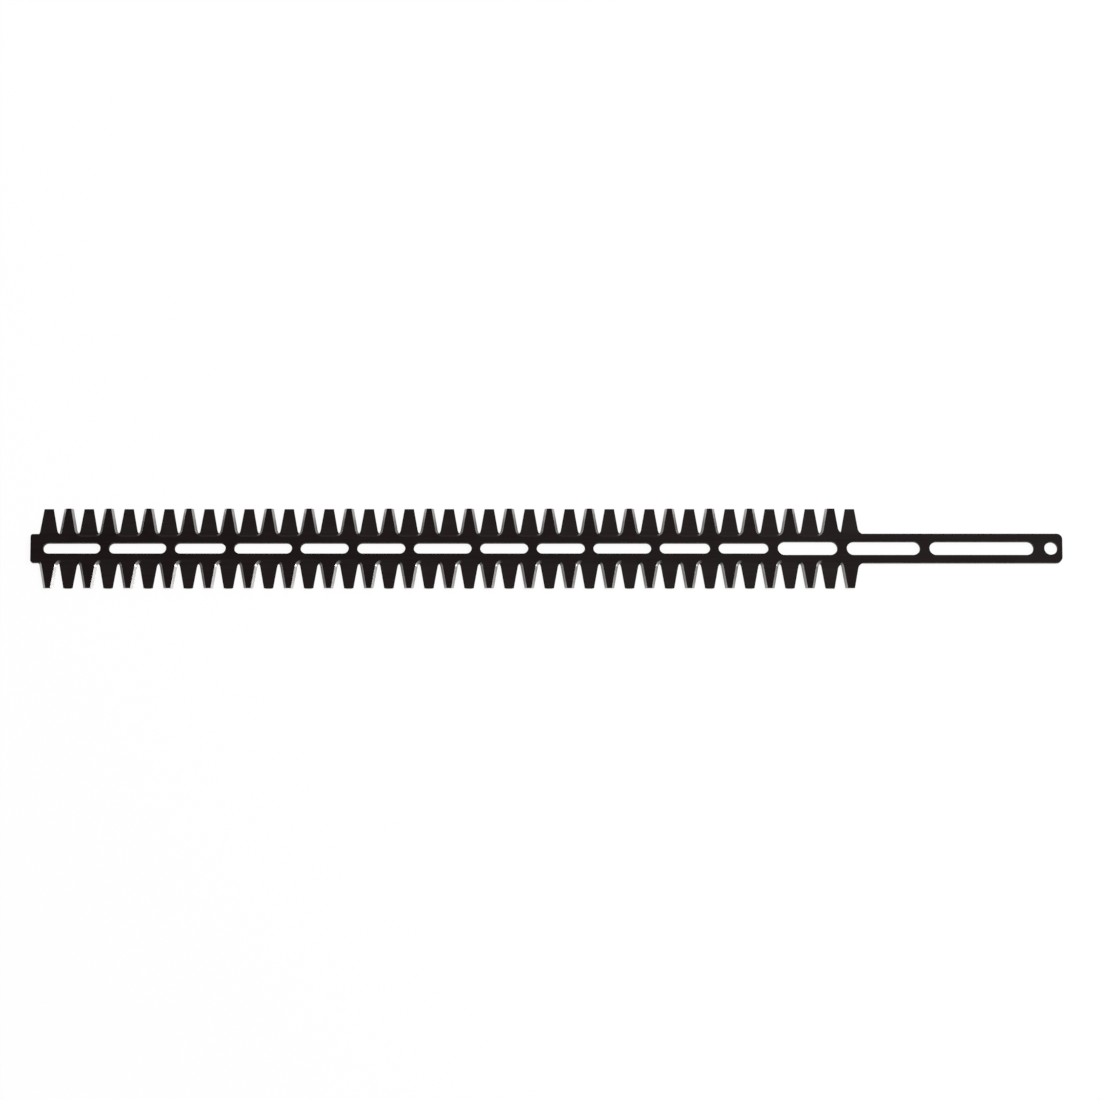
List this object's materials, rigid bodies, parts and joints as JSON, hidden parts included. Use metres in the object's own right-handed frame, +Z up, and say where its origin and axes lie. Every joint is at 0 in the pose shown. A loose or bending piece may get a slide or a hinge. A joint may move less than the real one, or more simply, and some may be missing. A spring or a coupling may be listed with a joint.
{
  "type": "hedge trimmer blade set",
  "caption": "Long double-edged hedge trimmer blade pair: two flat toothed steel blades laid face to face, with round-ended guide slots, a plain shank and a round drive hole.",
  "frame": {"origin": "on the axis of the drive hole, at the underside of the lower blade", "axes": "+X along the blades towards the drive end, +Y across them, +Z up out of the upper blade"},
  "size_m": [0.9011, 0.07, 0.006],
  "materials": {
    "blackened_steel": "matt black oxide on hardened steel, with bare ground steel on the bevels of the teeth"
  },
  "bodies": {
    "root": {"upper_blade": "blackened_steel", "lower_blade": "blackened_steel"}
  },
  "joints": []
}
